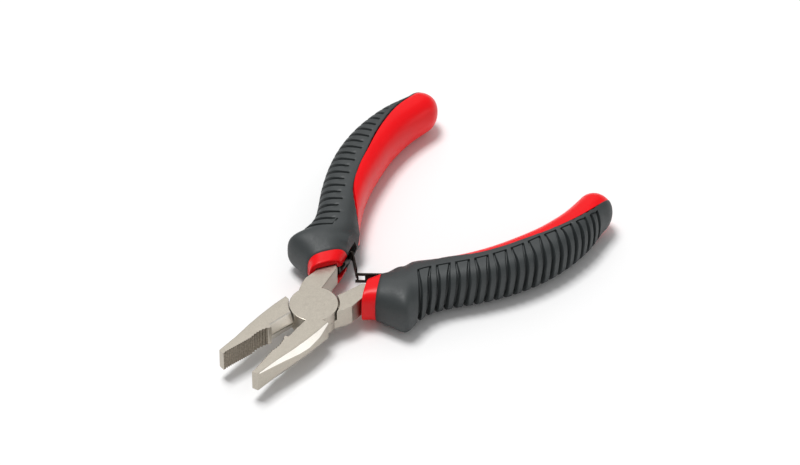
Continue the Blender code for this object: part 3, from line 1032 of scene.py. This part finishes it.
# The camera's direction from the pivot, its distance and its lens, and how far the aim lies beside and above
# the pivot in the view, in metres
VIEW_AZIMUTH = math.radians(-47.2)
VIEW_ELEVATION = math.radians(43.8)
VIEW_DISTANCE = 1.3
LENS = 205.6
AIM_RIGHT = 0.02493
AIM_UP = 0.01978


def add_camera(context):
    """A long lens from the front left, above, aimed past the pivot so that the whole tool is in view."""
    data = bpy.data.cameras.new("camera")
    data.lens = LENS
    data.sensor_width = 36
    data.clip_end = 20
    camera = bpy.data.objects.new("camera", data)
    context.scene.collection.objects.link(camera)
    right = Vector((math.cos(VIEW_AZIMUTH), math.sin(VIEW_AZIMUTH), 0))
    back = Vector((
        math.sin(VIEW_AZIMUTH) * math.cos(VIEW_ELEVATION),
        -math.cos(VIEW_AZIMUTH) * math.cos(VIEW_ELEVATION),
        math.sin(VIEW_ELEVATION),
    ))
    top = PIVOT + Vector((0, 0, HALF_THICKNESS))
    aim = top + right * AIM_RIGHT + back.cross(right) * AIM_UP
    camera.location = top + back * VIEW_DISTANCE
    camera.rotation_euler = (aim - camera.location).to_track_quat("-Z", "Y").to_euler()
    context.scene.camera = camera


# (name, place, width and height, watts) of each light, in metres
LIGHTS = (
    ("key", (0.05, 0.42, 1.75), (0.6, 0.6), 24.0),
    ("softbox", (0.5, 0.47, 0.66), (0.8, 0.8), 0.7),
    ("card", (0.4, -1.15, 0.2), (0.9, 0.4), 1.7),
)
WORLD_STRENGTH = 0.38
FLOOR_SIZE = 6
FLOOR_GAP = 0.02


def add_light(context, name, place, target, size, power):
    """A soft rectangular light, aimed at a point."""
    data = bpy.data.lights.new(name, "AREA")
    data.shape = "RECTANGLE"
    data.size, data.size_y = size
    data.energy = power
    light = bpy.data.objects.new(name, data)
    light.location = place
    light.rotation_euler = (Vector(target) - Vector(place)).to_track_quat("-Z", "Y").to_euler()
    context.scene.collection.objects.link(light)
    return light


class PLIERS_OT_stage(bpy.types.Operator):
    """Builds the pale studio floor, the soft lights and the camera"""

    bl_idname = "pliers.stage"
    bl_label = "Stage"

    def execute(self, context):
        low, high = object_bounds()
        bm = bmesh.new()
        bmesh.ops.create_grid(bm, x_segments=4, y_segments=4, size=FLOOR_SIZE)
        bmesh.ops.translate(bm, verts=bm.verts, vec=(0, 0, low.z - FLOOR_GAP * MM))
        floor = new_object(bm, "floor", False)
        paper = finish("seamless_paper", studio_floor, context.scene.pliers_colours.floor)
        floor.data.materials.append(paper)
        floor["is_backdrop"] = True
        world = bpy.data.worlds.new("studio")
        world.use_nodes = True
        background = world.node_tree.nodes["Background"]
        background.inputs["Color"].default_value = (1.0, 1.0, 1.0, 1.0)
        background.inputs["Strength"].default_value = WORLD_STRENGTH
        context.scene.world = world
        context.scene.view_settings.view_transform = "Standard"
        middle = ((low.x + high.x) / 2, 0, 0)
        for name, place, size, power in LIGHTS:
            add_light(context, name, place, middle, size, power)
        add_camera(context)
        return {"FINISHED"}


class PLIERS_PT_panel(bpy.types.Panel):
    """The pliers' sizes, colours and pieces"""

    bl_idname = "PLIERS_PT_panel"
    bl_label = "Pliers"
    bl_space_type = "VIEW_3D"
    bl_region_type = "UI"
    bl_category = "Pliers"

    def draw(self, context):
        for group in (context.scene.pliers_sizes, context.scene.pliers_colours):
            column = self.layout.column()
            for name in group.__annotations__:
                column.prop(group, name)
        for operator in OPERATORS:
            self.layout.operator(operator.bl_idname)


OPERATORS = (
    PLIERS_OT_halves,
    PLIERS_OT_rivet,
    PLIERS_OT_springs,
    PLIERS_OT_spring_rivets,
    PLIERS_OT_cores,
    PLIERS_OT_shells,
    PLIERS_OT_stage,
)
CLASSES = (PliersSizes, PliersColours, *OPERATORS, PLIERS_PT_panel)


def register():
    for item in CLASSES:
        bpy.utils.register_class(item)
    bpy.types.Scene.pliers_sizes = PointerProperty(type=PliersSizes)
    bpy.types.Scene.pliers_colours = PointerProperty(type=PliersColours)


def unregister():
    del bpy.types.Scene.pliers_colours
    del bpy.types.Scene.pliers_sizes
    for item in reversed(CLASSES):
        bpy.utils.unregister_class(item)


def main():
    register()
    for operator in OPERATORS:
        group, name = operator.bl_idname.split(".")
        getattr(getattr(bpy.ops, group), name)()


if __name__ == "__main__":
    main()
